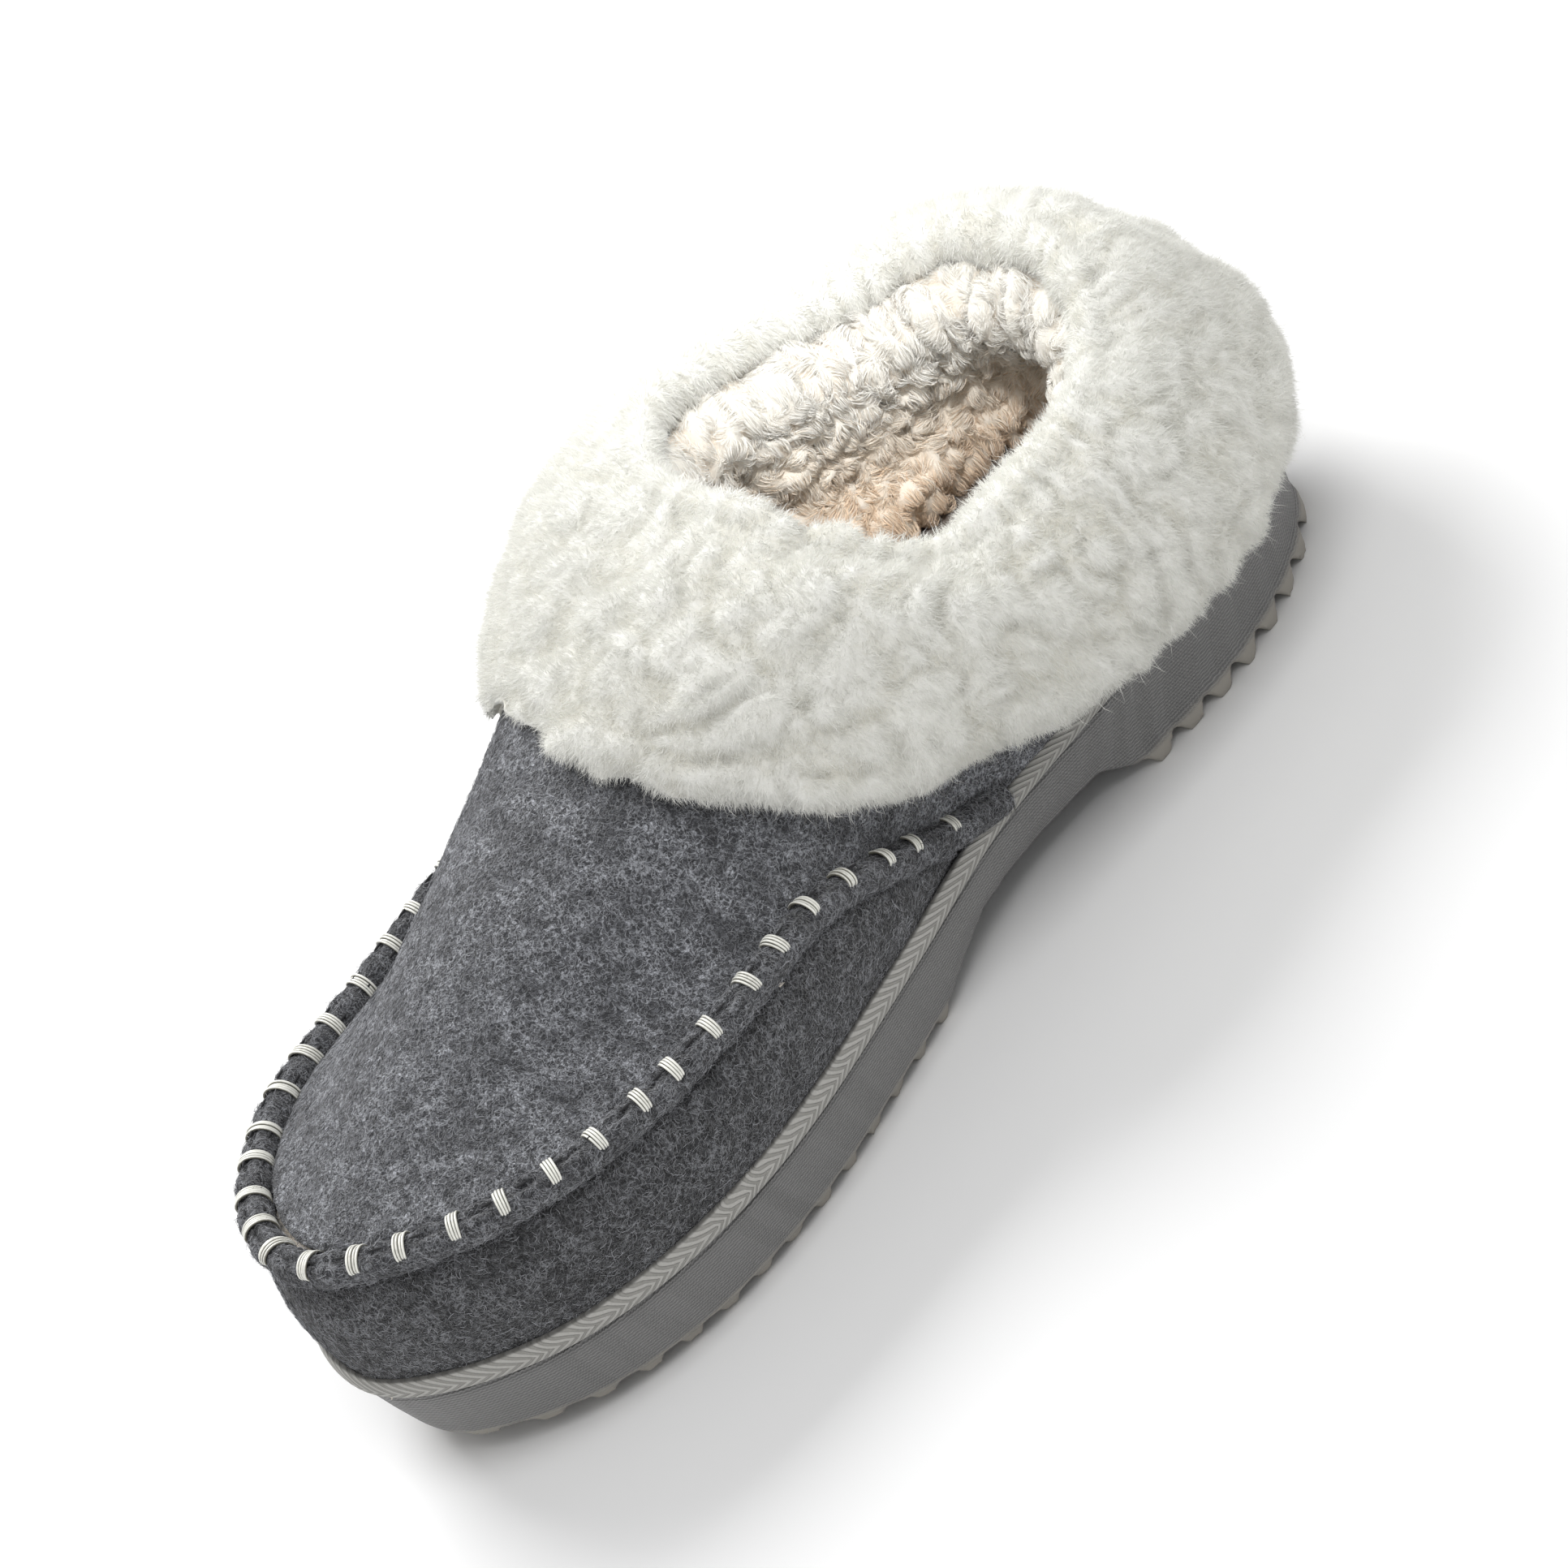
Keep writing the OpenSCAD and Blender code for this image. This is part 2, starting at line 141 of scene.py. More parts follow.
def place(piece, slot, material, *stands_for):
    """Gives the piece its material and smooth shading, hangs it under the root body and hides the CAD
    parts it stands for; the slot is not used.
    """
    piece.data.materials.clear()
    piece.data.materials.append(material)
    piece.data.polygons.foreach_set("use_smooth", [True] * len(piece.data.polygons))
    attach(piece, "root")
    if stands_for:
        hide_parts(*stands_for)
    return piece


def triangle_piece(name, co, triangles):
    """A new object from arrays of points and triangles."""
    mesh = bpy.data.meshes.new(name)
    mesh.vertices.add(len(co))
    mesh.vertices.foreach_set("co", co.astype(np.float32).ravel())
    mesh.loops.add(triangles.size)
    mesh.loops.foreach_set("vertex_index", triangles.astype(np.int32).ravel())
    mesh.polygons.add(len(triangles))
    mesh.polygons.foreach_set("loop_start", np.arange(0, triangles.size, 3, dtype=np.int32))
    mesh.update(calc_edges=True)
    piece = bpy.data.objects.new(name, mesh)
    scene.collection.objects.link(piece)
    return piece


def islands(piece):
    """The points of each loose part of a mesh."""
    bm = bmesh.new()
    bm.from_mesh(piece.data)
    found, seen = [], set()
    for start in bm.verts:
        if start.index in seen:
            continue
        stack, part = [start], []
        seen.add(start.index)
        while stack:
            vert = stack.pop()
            part.append(np.array(vert.co))
            for edge in vert.link_edges:
                other = edge.other_vert(vert)
                if other.index not in seen:
                    seen.add(other.index)
                    stack.append(other)
        found.append(np.array(part))
    bm.free()
    return found


def nearest(points, targets):
    """Distance from each point to the nearest target."""
    best = np.full(len(points), np.inf)
    for start in range(0, len(points), ROWS_AT_ONCE):
        block = points[start : start + ROWS_AT_ONCE]
        gap = ((block[:, None, :] - targets[None, :, :]) ** 2).sum(2)
        best[start : start + ROWS_AT_ONCE] = gap.min(1)
    return np.sqrt(best)


def wobble(points, scale, seed=0.0):
    """Smooth noise from about -1 to 1, one value per point."""
    return np.array([noise.noise(Vector(p / scale) + Vector((seed, seed, seed))) for p in points])


def wobble_vectors(points, scale):
    return np.array([noise.noise_vector(Vector(p / scale)) for p in points])


# ---- materials ---------------------------------------------------------------------------------
class Surface:
    """A node material: its Principled shader and short calls that add nodes to it."""

    def __init__(self, name, roughness, **sockets):
        self.material = bpy.data.materials.new(name)
        self.material.use_nodes = True
        self.tree = self.material.node_tree
        self.shader = self.tree.nodes["Principled BSDF"]
        self.shader.inputs["Roughness"].default_value = roughness
        for key, value in sockets.items():
            self.shader.inputs[key.replace("_", " ")].default_value = value
        self.object_space = self.tree.nodes.new("ShaderNodeTexCoord").outputs["Object"]

    def add(self, kind, out=0, settings=(), **sockets):
        """One more node, whose sockets are named or numbered (i0, i1 and so on)."""
        node = self.tree.nodes.new(kind)
        for key, value in dict(settings).items():
            setattr(node, key, value)
        for key, value in sockets.items():
            numbered = key[0] == "i" and key[1:].isdigit()
            socket = node.inputs[int(key[1:]) if numbered else key]
            if isinstance(value, bpy.types.NodeSocket):
                self.tree.links.new(value, socket)
            else:
                socket.default_value = value
        return node.outputs[out]

    def noise(self, scale, detail=2.0, rough=0.5):
        return self.add("ShaderNodeTexNoise", Vector=self.object_space, Scale=scale,
                        Detail=detail, Roughness=rough)

    def strands(self, scale, thin):
        """Thin curly lines, where a smooth noise passes through its middle."""
        field = self.noise(scale, 1.0)
        return self.step(self.math("ABSOLUTE", self.math("SUBTRACT", field, 0.5)), thin, 0.0)

    def math(self, operation, a, b=0.0):
        return self.add("ShaderNodeMath", settings={"operation": operation}, i0=a, i1=b)

    def blend(self, fac, a, b):
        """Colour a where fac is 0 and b where it is 1."""
        node = self.tree.nodes.new("ShaderNodeMix")
        node.data_type = "RGBA"
        for index, value in ((0, fac), (6, a), (7, b)):
            if isinstance(value, bpy.types.NodeSocket):
                self.tree.links.new(value, node.inputs[index])
            elif index:
                node.inputs[index].default_value = (*value, 1)
            else:
                node.inputs[index].default_value = value
        return node.outputs[2]

    def step(self, value, low, high):
        """0 below low and 1 above high."""
        return self.add("ShaderNodeMapRange", settings={"interpolation_type": "SMOOTHSTEP"},
                        Value=value, i1=low, i2=high, i3=0.0, i4=1.0)

    def read(self, name):
        """A number that the mesh keeps for each of its vertices."""
        return self.add("ShaderNodeAttribute", out=2, settings={"attribute_name": name})

    def colour(self, value):
        self.tree.links.new(value, self.shader.inputs["Base Color"])

    def bump(self, height, depth, strength):
        """A bump whose height 0..1 stands for depth in metres."""
        normal = self.add("ShaderNodeBump", Height=height, Distance=depth, Strength=strength)
        self.tree.links.new(normal, self.shader.inputs["Normal"])


# Patterns of the moulded and woven pieces, in millimetres
KNIT_COLUMN = 1.1
KNIT_ROW = 0.75
RIB_PITCH = 2.8
RIB_SLANT = 27.0  # radians that a rib's wave runs on over the tape's height
TAPE_HEIGHT = 4.8

STRAND_THIN = 0.045  # how far from a noise's middle a strand reaches
# painted shade for the felt in the rolled seam's groove
GROOVE_PAINTED_SHADE = (0.012, 0.012, 0.014)


def felt_material(name, dark, mid, light):
    """Heathered wool felt: curly light and dark fibres in clumps over a soft mottle, with painted
    shade where the mesh's groove mask is set.
    """
    s = Surface(name, 0.95, Sheen_Weight=0.3, Sheen_Roughness=0.45)
    fleck = s.noise(640.0, 4.0, 0.72)
    clump = s.noise(170.0, 3.0, 0.6)
    tone = s.math("ADD", s.math("MULTIPLY", fleck, 0.65), s.math("MULTIPLY", clump, 0.35))
    look = s.blend(s.step(tone, 0.4, 0.6), dark, mid)
    lift = fleck
    pale_clumps = s.math("ADD", s.math("MULTIPLY", s.step(clump, 0.38, 0.62), 0.65), 0.3)
    layers = (
        (520.0, 0.85, dark),
        (430.0, pale_clumps, light),
        (740.0, 0.8, dark),
        (610.0, pale_clumps, light),
        (890.0, pale_clumps, light),
        (980.0, 0.6, dark),
    )
    for scale, cover, colour in layers:
        strand = s.strands(scale, STRAND_THIN)
        look = s.blend(s.math("MULTIPLY", strand, cover), look, colour)
        lift = s.math("ADD", lift, strand)
    # painted shade: the groove mask darkens the felt's colour
    s.colour(s.blend(s.math("MULTIPLY", s.read("groove"), 0.85), look, GROOVE_PAINTED_SHADE))
    s.bump(lift, 0.35 * MM, 0.8)
    return s.material


def rubber_material():
    """Moulded rubber: a fine knit texture on walls and hollows with painted highlights along the
    knit, smooth on the crests and painted lighter and warmer there, for the light that shows through
    the thin rubber.
    """
    s = Surface("sole_rubber_look", 0.62, Specular_IOR_Level=0.35)
    along, height, crest_smooth_and_painted_light = s.read("along"), s.read("height"), s.read("crest")
    column = s.math("SINE", s.math("MULTIPLY", along, 2 * math.pi / KNIT_COLUMN))
    row = s.math("MULTIPLY", height, 2 * math.pi / KNIT_ROW)
    offset = s.math("ADD", row, s.math("MULTIPLY", column, 0.7))
    weight = s.math("ADD", s.math("ABSOLUTE", column), 0.6)
    knit = s.math("MULTIPLY", s.math("SINE", offset), weight)
    textured = s.math("SUBTRACT", 1.0, crest_smooth_and_painted_light)
    cloud = s.noise(60.0, 3.0)
    body = s.blend(cloud, (0.175, 0.173, 0.173), (0.215, 0.212, 0.21))
    # painted highlight: the knit's raised rows are painted lighter
    knit_painted_highlight = s.blend(s.math("MULTIPLY", s.step(knit, -0.6, 0.9), 0.75), body, (0.33, 0.326, 0.321))
    # painted light: the crests are painted lighter and warmer, for the light through the thin rubber
    s.colour(s.blend(crest_smooth_and_painted_light, knit_painted_highlight, (0.35, 0.33, 0.295)))
    s.bump(s.math("MULTIPLY", knit, textured), 0.16 * MM, 0.7)
    return s.material


def tape_material():
    """Herringbone tape: two rows of slanted ribs that meet along its middle, with painted shade in
    the gaps between the ribs and along both edges.
    """
    s = Surface("welt_tape_look", 0.8, Sheen_Weight=0.1)
    along, across = s.read("along"), s.read("across")
    folded = s.math("ABSOLUTE", s.math("SUBTRACT", across, 0.5))
    slant = s.math("MULTIPLY", folded, RIB_SLANT)
    phase = s.math("ADD", s.math("MULTIPLY", along, 2 * math.pi / RIB_PITCH), slant)
    rib = s.step(s.math("SINE", phase), -0.9, 0.4)
    yarn = s.noise(2400.0, 2.0)
    thread = s.blend(yarn, (0.38, 0.372, 0.35), (0.49, 0.482, 0.456))
    # painted shade: the gaps between the ribs are darker
    gap = s.blend(yarn, (0.25, 0.244, 0.226), (0.34, 0.333, 0.31))
    woven = s.blend(rib, gap, thread)
    # painted shade along the lower edge, in the groove above the sole, and along the upper edge,
    # under the felt
    edge = s.math("MAXIMUM", s.step(across, 0.2, 0.06), s.step(across, 0.92, 0.99))
    s.colour(s.blend(s.math("MULTIPLY", edge, 0.8), woven, (0.05, 0.048, 0.044)))
    s.bump(rib, 0.25 * MM, 1.0)
    return s.material


def yarn_material():
    """Shiny ivory yarn with painted light: a painted highlight along the top of each ply and painted
    shade down between the plies.
    """
    s = Surface("ivory_yarn_look", 0.34, Sheen_Weight=0.1, Specular_IOR_Level=0.7)
    fine = s.noise(1500.0, 2.0)
    # painted highlight on each ply's top, painted shade at its sides
    top = s.step(s.math("ADD", s.read("crown"), s.math("MULTIPLY", fine, 0.4)), 0.4, 1.1)
    s.colour(s.blend(top, (0.2, 0.19, 0.15), (0.93, 0.925, 0.86)))
    s.bump(fine, 0.08 * MM, 0.6)
    return s.material


def pile_material(name, cleft_painted_shade, light):
    """Fleece under the fibres: pale on the tufts, with painted creamy shade in the clefts."""
    s = Surface(name, 0.95, Sheen_Weight=0.2, Sheen_Roughness=0.5)
    tuft = s.read("tuft")
    fine = s.noise(1800.0, 4.0, 0.7)
    mixed = s.math("ADD", s.math("MULTIPLY", tuft, 0.75), s.math("MULTIPLY", fine, 0.3))
    s.colour(s.blend(s.step(mixed, 0.05, 0.85), cleft_painted_shade, light))
    s.bump(fine, 0.5 * MM, 0.5)
    return s.material


def fibre_material(name, colour):
    """Loose fibres are one plain colour."""
    s = Surface(name, 0.8, Sheen_Weight=0.1)
    s.shader.inputs["Base Color"].default_value = (*colour, 1)
    return s.material


def cloth_material(name, dark, light, threads_per_mm):
    """Woven cloth: two sets of threads crossing."""
    s = Surface(name, 0.85, Sheen_Weight=0.1)
    split = s.add("ShaderNodeSeparateXYZ", Vector=s.object_space).node
    turns = 2 * math.pi * threads_per_mm / MM
    warp = s.math("SINE", s.math("MULTIPLY", split.outputs[0], turns))
    weft = s.math("SINE", s.math("MULTIPLY", split.outputs[1], turns))
    weave = s.step(s.math("MULTIPLY", warp, weft), -1.0, 1.0)
    fine = s.noise(500.0, 3.0)
    s.colour(s.blend(s.math("MULTIPLY", s.math("ADD", weave, fine), 0.5), dark, light))
    s.bump(weave, 0.15 * MM, 0.6)
    return s.material


def grained_material(name, dark, light, scale, depth=0.2):
    """Board, foam and thread: a fine grain in two tones, depth in millimetres."""
    s = Surface(name, 0.85)
    grain = s.noise(scale, 4.0, 0.65)
    s.colour(s.blend(grain, dark, light))
    s.bump(grain, depth * MM, 0.6)
    return s.material


# ---- the sole's outline, for patterns that run along it ------------------------------------------
def toe_turn(co):
    """The angle round the slipper's middle: 0 at the toe, half a turn either way at the heel."""
    return np.arctan2(co[:, 0], -co[:, 1])


def walk_round(node, stations=240):
    """Angles round a node's plan outline, and the millimetres walked along it to each."""
    co = points_of(nodes[node])
    edges = np.linspace(-math.pi, math.pi, stations + 1)
    middle = (edges[:-1] + edges[1:]) / 2
    which = np.clip(np.digitize(toe_turn(co), edges) - 1, 0, stations - 1)
    reach = np.zeros(stations)
    np.maximum.at(reach, which, np.hypot(co[:, 0], co[:, 1]))
    known = reach > 0
    reach = np.interp(middle, middle[known], reach[known], period=2 * math.pi)
    path = np.stack([reach * np.sin(middle), reach * np.cos(middle)], 1)
    walked = np.concatenate([[0], np.cumsum(np.linalg.norm(np.diff(path, axis=0), axis=1))])
    return middle, walked / MM


EDGE_TURN, EDGE_WALK = walk_round("welt_tape")


def along_sole(co):
    """How far round the sole each point lies, in millimetres."""
    return np.interp(toe_turn(co), EDGE_TURN, EDGE_WALK)


# ---- sole unit ---------------------------------------------------------------------------------
# Towards the toe the tread rises off the floor
TOE_SPRING = 5 * MM
SPRING_START = -60 * MM
SPRING_END = -134 * MM


def build_sole():
    """The moulded rubber sole; its material is told which parts are the smooth crests."""
    sole = copy_of("outsole", "sole_unit")
    apply(sole, "REMESH", mode="VOXEL", voxel_size=0.85 * MM, adaptivity=0)
    apply(sole, "SMOOTH", factor=0.5, iterations=4)
    co = points_of(sole)
    down = -normals_of(sole)[:, 2]
    forward = np.clip((SPRING_START - co[:, 1]) / (SPRING_START - SPRING_END), 0, 1)
    spring = TOE_SPRING * forward**2
    crest = smooth(1.4 * MM, 0.5 * MM, co[:, 2] - spring) * smooth(0.2, 0.6, down)
    lip = smooth(4.2 * MM, 3.4 * MM, co[:, 2] - spring) * smooth(0.9, 0.5, np.abs(down))
    note(sole, "along", along_sole(co))
    note(sole, "height", co[:, 2] / MM)
    # the crests, with the lower lip, are smooth and get painted light in the material
    note(sole, "crest", np.maximum(crest, lip))
    return place(sole, "sole_rubber", rubber_material(), "outsole")


def build_tape():
    """The tape rises and falls with the sole's edge, so its ribs go by its lowest point nearby."""
    tape = copy_of("welt_tape", "welt_tape_woven", 80)
    apply(tape, "SUBSURF", levels=2)
    co = points_of(tape)
    note(tape, "along", along_sole(co))
    low = lowest_along(co, co)
    note(tape, "across", np.clip((co[:, 2] - low) / (TAPE_HEIGHT * MM), 0, 1))
    return place(tape, "woven_tape", tape_material(), "welt_tape")


def lowest_along(co, places, cell_length=3):
    """The lowest of the points co in the cell, in millimetres along the sole, of each place."""
    cell = (along_sole(co) / cell_length).astype(int)
    low = np.full(cell.max() + 1, np.inf)
    np.minimum.at(low, cell, co[:, 2])
    known = np.isfinite(low)
    return np.interp(along_sole(places) / cell_length - 0.5, np.flatnonzero(known), low[known])


# ---- felt ----------------------------------------------------------------------------------------
def build_felt(node, name, slot, material):
    """A felt panel: smooth, with slight waves as cut and sewn wool has."""
    felt = copy_of(node, name)
    apply(felt, "SUBSURF", levels=3)
    co = points_of(felt)
    wave = 0.35 * wobble(co, 14 * MM) + 0.12 * wobble(co, 4 * MM, 3.0)
    move_to(felt, co + normals_of(felt) * wave[:, None] * MM)
    return place(felt, slot, material, node)


# The vamp's felt drops behind the tape beyond the rolled seam's ends
TUCK_DROP = 9 * MM
TUCK_RUN = 8 * MM
TUCK_TOP = 40 * MM
TUCK_FULL = 30 * MM
TUCK_HIDDEN = 2.8 * MM  # above the tape's lower edge


def tuck_in(felt):
    """Runs the vamp's felt on behind the tape, past both ends of the rolled seam."""
    co = points_of(felt)
    height = co[:, 2]
    roll = points_of(nodes["moc_seam_roll"])
    behind_tape = lowest_along(points_of(nodes["welt_tape"]), co) + TUCK_HIDDEN
    for side in (-1, 1):
        end = roll[roll[:, 0] * side > 0][:, 1].max()
        behind = smooth(end - TUCK_RUN, end, co[:, 1]) * (co[:, 0] * side > 0)
        drop = TUCK_DROP * behind * smooth(TUCK_TOP, TUCK_FULL, height)
        height = np.minimum(height, np.maximum(height - drop, behind_tape))
    move_to(felt, np.column_stack([co[:, :2], height]))


def arc_of(part):
    """A stitch's centre, its direction along the seam, its radius and the angles it spans."""
    centre = part.mean(0)
    axes = np.linalg.svd(part - centre)[2]
    across, a, b = axes[2], axes[0], axes[1]
    flat = np.stack([(part - centre) @ a, (part - centre) @ b], 1)
    system = np.column_stack([2 * flat, np.ones(len(flat))])
    solved = np.linalg.lstsq(system, (flat**2).sum(1), rcond=None)[0]
    radius = math.sqrt(solved[2] + solved[0] ** 2 + solved[1] ** 2)
    centre = centre + a * solved[0] + b * solved[1]
    turn = np.sort(np.arctan2((part - centre) @ b, (part - centre) @ a))
    gaps = np.diff(np.append(turn, turn[0] + 2 * math.pi))
    widest = int(gaps.argmax())
    start = turn[(widest + 1) % len(turn)]
    return centre, across, a, b, radius, start, 2 * math.pi - gaps[widest]


def groove_line(arcs, between=10):
    """Points along the rolled seam, a little outside its top, where its two folds meet."""
    shoulder = 0.3  # of a stitch's sweep, from either end
    marks = []
    for centre, _, a, b, radius, start, sweep in arcs:
        turns = (start + shoulder * sweep, start + (1 - shoulder) * sweep)
        sides = [centre + (a * math.cos(turn) + b * math.sin(turn)) * radius for turn in turns]
        marks.append(max(sides, key=lambda side: math.hypot(side[0], side[1])))
    marks = np.array(marks)
    marks = marks[np.argsort(toe_turn(marks))]
    steps = np.arange(0, len(marks) - 1, 1 / between)
    return np.stack([np.interp(steps, np.arange(len(marks)), marks[:, k]) for k in range(3)], 1)


GROOVE_WIDTH = 0.8 * MM


def build_roll(material, arcs):
    """The rolled seam: a sewn groove runs along it and every hand stitch pulls it in."""
    roll = copy_of("moc_seam_roll", "moc_seam_rolled", 80)
    apply(roll, "SUBSURF", levels=3)
    co = points_of(roll)
    normal = normals_of(roll)
    line = np.array([roll.closest_point_on_mesh(Vector(p))[1] for p in groove_line(arcs)])
    groove = np.exp(-((nearest(co, line) / GROOVE_WIDTH) ** 2))
    fold = nearest(co, points_of(nodes["seam_topstitches"]))
    pull = nearest(co, points_of(nodes["whip_stitches"]))
    apart = smooth(1.2 * MM, 3 * MM, pull)
    sunk = 0.5 * np.exp(-((fold / GROOVE_WIDTH) ** 2)) + (0.3 + 0.8 * apart) * groove
    puff = 0.15 + 0.25 * wobble(co, 5 * MM) * apart + 0.5 * apart
    move_to(roll, co + normal * ((puff - sunk) * MM)[:, None])
    # painted shade: the groove, broken into dashes, is kept for the felt's colour to darken
    broken = 0.75 + 0.9 * wobble(co, 1.6 * MM, 4.0)
    note(roll, "groove", np.clip(groove**2 * broken, 0, 1))
    return place(roll, "felt_wall", material, "moc_seam_roll")


PLIES = 4
PLY_RADIUS = 0.29 * MM
PLY_SPACING = 2.05 * PLY_RADIUS
PLY_SIDES = 8
PLY_STEPS = 22
STITCH_SLANT = 0.9 * MM
STITCH_SINK = 0.25 * MM
STITCH_DIVE = 1.5 * MM
STITCH_OVERRUN = 0.1  # radians at either end


def build_yarn(arcs):
    """Each hand stitch is some plies side by side that bend over the roll and dive into the felt."""
    co, triangles, crown = [], [], []
    for centre, across, a, b, radius, start, sweep in arcs:
        if across[1] < 0:
            across = -across
        lean = rng.normal(0, 0.12)
        for ply in range(PLIES):
            shift = (ply - (PLIES - 1) / 2) * PLY_SPACING
            lift = radius + rng.normal(0, 0.1) * MM
            painted_light_strength = rng.uniform(0.8, 1.1)
            base = len(co)
            for i in range(PLY_STEPS + 1):
                s = i / PLY_STEPS
                ending = abs(2 * s - 1)  # 1 at both ends, 0 halfway
                angle = start - STITCH_OVERRUN + (sweep + 2 * STITCH_OVERRUN) * s
                out = a * math.cos(angle) + b * math.sin(angle)
                thick = PLY_RADIUS * (1 - 0.25 * ending**4)
                sideways = shift * (1 - 0.3 * ending**3) + STITCH_SLANT * (s - 0.5 + lean)
                rise = lift - STITCH_SINK - STITCH_DIVE * ending**8
                middle = centre + out * rise + across * sideways
                for k in range(PLY_SIDES):
                    w = 2 * math.pi * k / PLY_SIDES
                    co.append(middle + (out * math.cos(w) + across * math.sin(w)) * thick)
                    # painted light: bright on the ply's top, dark at its sides
                    crown.append(painted_light_strength * math.cos(w))
            for ring in range(base, base + PLY_STEPS * PLY_SIDES, PLY_SIDES):
                for k in range(PLY_SIDES):
                    p = ring + k
                    q = ring + (k + 1) % PLY_SIDES
                    triangles += [(p, q, q + PLY_SIDES), (p, q + PLY_SIDES, p + PLY_SIDES)]
    yarn = triangle_piece("whip_stitch_yarn", np.array(co), np.array(triangles))
    note(yarn, "crown", np.array(crown))
    return place(yarn, "ivory_yarn", yarn_material(), "whip_stitches")


# ---- fleece ------------------------------------------------------------------------------------
UPPER = ("vamp_plug", "toe_wall", "quarter_medial", "quarter_lateral", "moc_seam_roll")


def spread_seeds(points, gap, tries=40_000):
    """A thinned random choice of points that keep about gap apart."""
    cell, kept = {}, []
    for i in rng.permutation(len(points))[:tries]:
        key = tuple(np.floor(points[i] / gap).astype(int))
        near = (cell.get((key[0] + x, key[1] + y, key[2] + z), ())
                for x in (-1, 0, 1) for y in (-1, 0, 1) for z in (-1, 0, 1))
        if all(((points[i] - points[j]) ** 2).sum() > gap * gap for group in near for j in group):
            cell.setdefault(key, []).append(i)
            kept.append(i)
    return np.array(kept)


def share_out(places, seeds):
    """Which seed each place is nearest to."""
    owner = np.empty(len(places), int)
    targets = places[seeds]
    for start in range(0, len(places), ROWS_AT_ONCE):
        block = places[start : start + ROWS_AT_ONCE]
        far = ((block[:, None, :] - targets[None, :, :]) ** 2).sum(2)
        owner[start : start + ROWS_AT_ONCE] = seeds[far.argmin(1)]
    return owner


def round_rim(node, stations=90):
    """Turn angles about the opening's centre, with the rim's inner reach and height at each."""
    out = points_of(nodes[node]) - OPENING
    edges = np.linspace(-math.pi, math.pi, stations + 1)
    which = np.clip(np.digitize(np.arctan2(out[:, 1], out[:, 0]), edges) - 1, 0, stations - 1)
    reach = np.full(stations, np.inf)
    np.minimum.at(reach, which, np.hypot(out[:, 0], out[:, 1]))
    known = np.isfinite(reach)
    height = np.array([out[which == i, 2].mean() for i in np.flatnonzero(known)])
    return ((edges[:-1] + edges[1:]) / 2)[known], reach[known], height


def from_rim(co):
    """How far outside the opening's rim each point lies, and how far above it."""
    out = co - OPENING
    turn = np.arctan2(out[:, 1], out[:, 0])
    angles, reach, height = round_rim("topline_tape")
    rim_reach = np.interp(turn, angles, reach, period=2 * math.pi)
    rim_height = np.interp(turn, angles, height, period=2 * math.pi)
    return np.hypot(out[:, 0], out[:, 1]) - rim_reach, out[:, 2] - rim_height


def hang(co, normal):
    """The way the pile lies: out over the rim and down along the sides."""
    out = co - OPENING
    out[:, 2] = 0
    pull = unit(out) * 0.8 - UP
    return unit(pull - normal * (pull * normal).sum(1, keepdims=True))


def billow(places, size, seed=0.0):
    """Rounded puffs with narrow clefts between them, from 0 in a cleft to about 1."""
    return np.clip(np.abs(wobble(places, size, seed)) * 2.4, 0, 1.2)


def open_to_air(co, normal, blockers, reach):
    """True where nothing of the blocking nodes lies within reach along the normal."""
    trees = []
    for node in blockers:
        mesh = nodes[node].data
        corners = [v.co[:] for v in mesh.vertices]
        faces = [p.vertices[:] for p in mesh.polygons]
        trees.append(BVHTree.FromPolygons(corners, faces))
    free = np.ones(len(co), bool)
    for i, (p, n) in enumerate(zip(co, normal)):
        start, way = Vector(p), Vector(n)
        free[i] = not any(tree.ray_cast(start, way, reach)[0] for tree in trees)
    return free


def scatter(piece, count, allowed):
    """Random places on a mesh: a vertex each is near, its point and its normal."""
    tri = triangles_of(piece)
    tri = tri[allowed[tri].all(1)]
    co, normal = points_of(piece), normals_of(piece)
    corner = co[tri]
    area = np.linalg.norm(
        np.cross(corner[:, 1] - corner[:, 0], corner[:, 2] - corner[:, 0]), axis=1
    )
    chosen = tri[rng.choice(len(tri), count, p=area / area.sum())]
    a, b = rng.random((2, count, 1))
    flip = (a + b) > 1
    a, b = np.where(flip, 1 - a, a), np.where(flip, 1 - b, b)
    weight = np.concatenate([1 - a - b, a, b], 1)
    point = (co[chosen] * weight[:, :, None]).sum(1)
    way = unit((normal[chosen] * weight[:, :, None]).sum(1))
    return chosen[:, 0], point, way


def fibre_pieces(name, slot, material, path, width):
    """Ribbons that taper to a point along a path of stations, in as many pieces as needed."""
    count, bends = len(width), len(path) - 1
    side = unit(np.cross(path[-1] - path[0], rng.normal(size=(count, 3)))) * width[:, None] / 2
    rows = []
    for k in range(bends):
        taper = side * (1 - 0.6 * k / bends)
        rows += [path[k] - taper, path[k] + taper]
    co = np.stack(rows + [path[-1]], 1)
    faces = []
    for k in range(bends - 1):
        faces += [(2 * k, 2 * k + 1, 2 * k + 3), (2 * k, 2 * k + 3, 2 * k + 2)]
    faces = np.array(faces + [(2 * bends - 2, 2 * bends - 1, 2 * bends)])
    each = MAX_TRIANGLES // len(faces)
    for part, start in enumerate(range(0, count, each), 1):
        block = co[start : start + each]
        base = np.arange(len(block))[:, None, None] * (2 * bends + 1)
        triangles = (faces + base).reshape(-1, 3)
        place(triangle_piece(f"{name}_{part}", block.reshape(-1, 3), triangles), slot, material)


